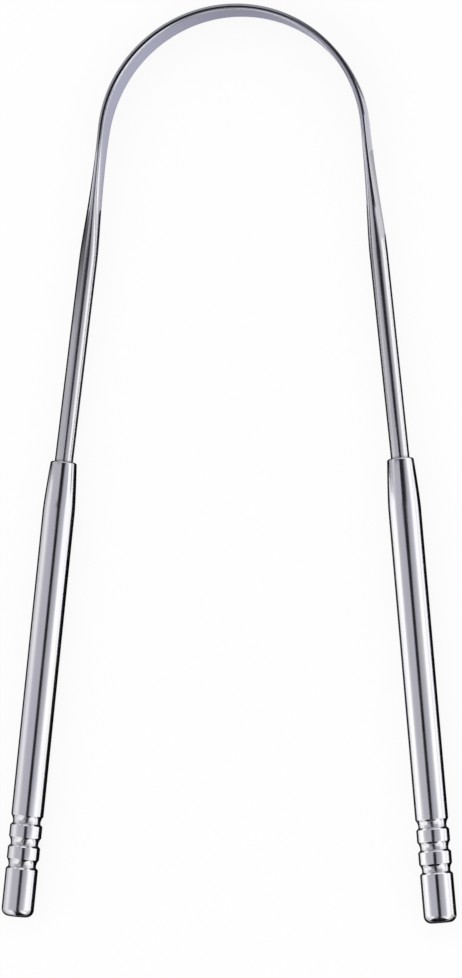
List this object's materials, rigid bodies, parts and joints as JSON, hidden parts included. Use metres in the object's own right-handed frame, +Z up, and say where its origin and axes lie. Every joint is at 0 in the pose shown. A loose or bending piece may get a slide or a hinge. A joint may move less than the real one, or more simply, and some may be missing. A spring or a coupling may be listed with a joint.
{
  "type": "tongue scraper",
  "caption": "U-shaped polished steel tongue scraper: a wire bow pressed flat into a scraping blade, with a grooved tube handle on each leg.",
  "frame": {"origin": "on the table that the tool lies on, under the middle of its length", "axes": "+Y from the handle ends to the crown of the bow, +X across from the left handle to the right one, +Z up from the table through the width of the blade"},
  "size_m": [0.079, 0.1584, 0.0064],
  "materials": {
    "bow_steel": "polished stainless steel",
    "handle_steel": "polished stainless steel",
    "plug_steel": "polished stainless steel"
  },
  "bodies": {
    "root": {"scraper_bow": "bow_steel", "left_handle_tube": "handle_steel", "right_handle_tube": "handle_steel", "left_end_plug": "plug_steel", "right_end_plug": "plug_steel"}
  },
  "joints": []
}
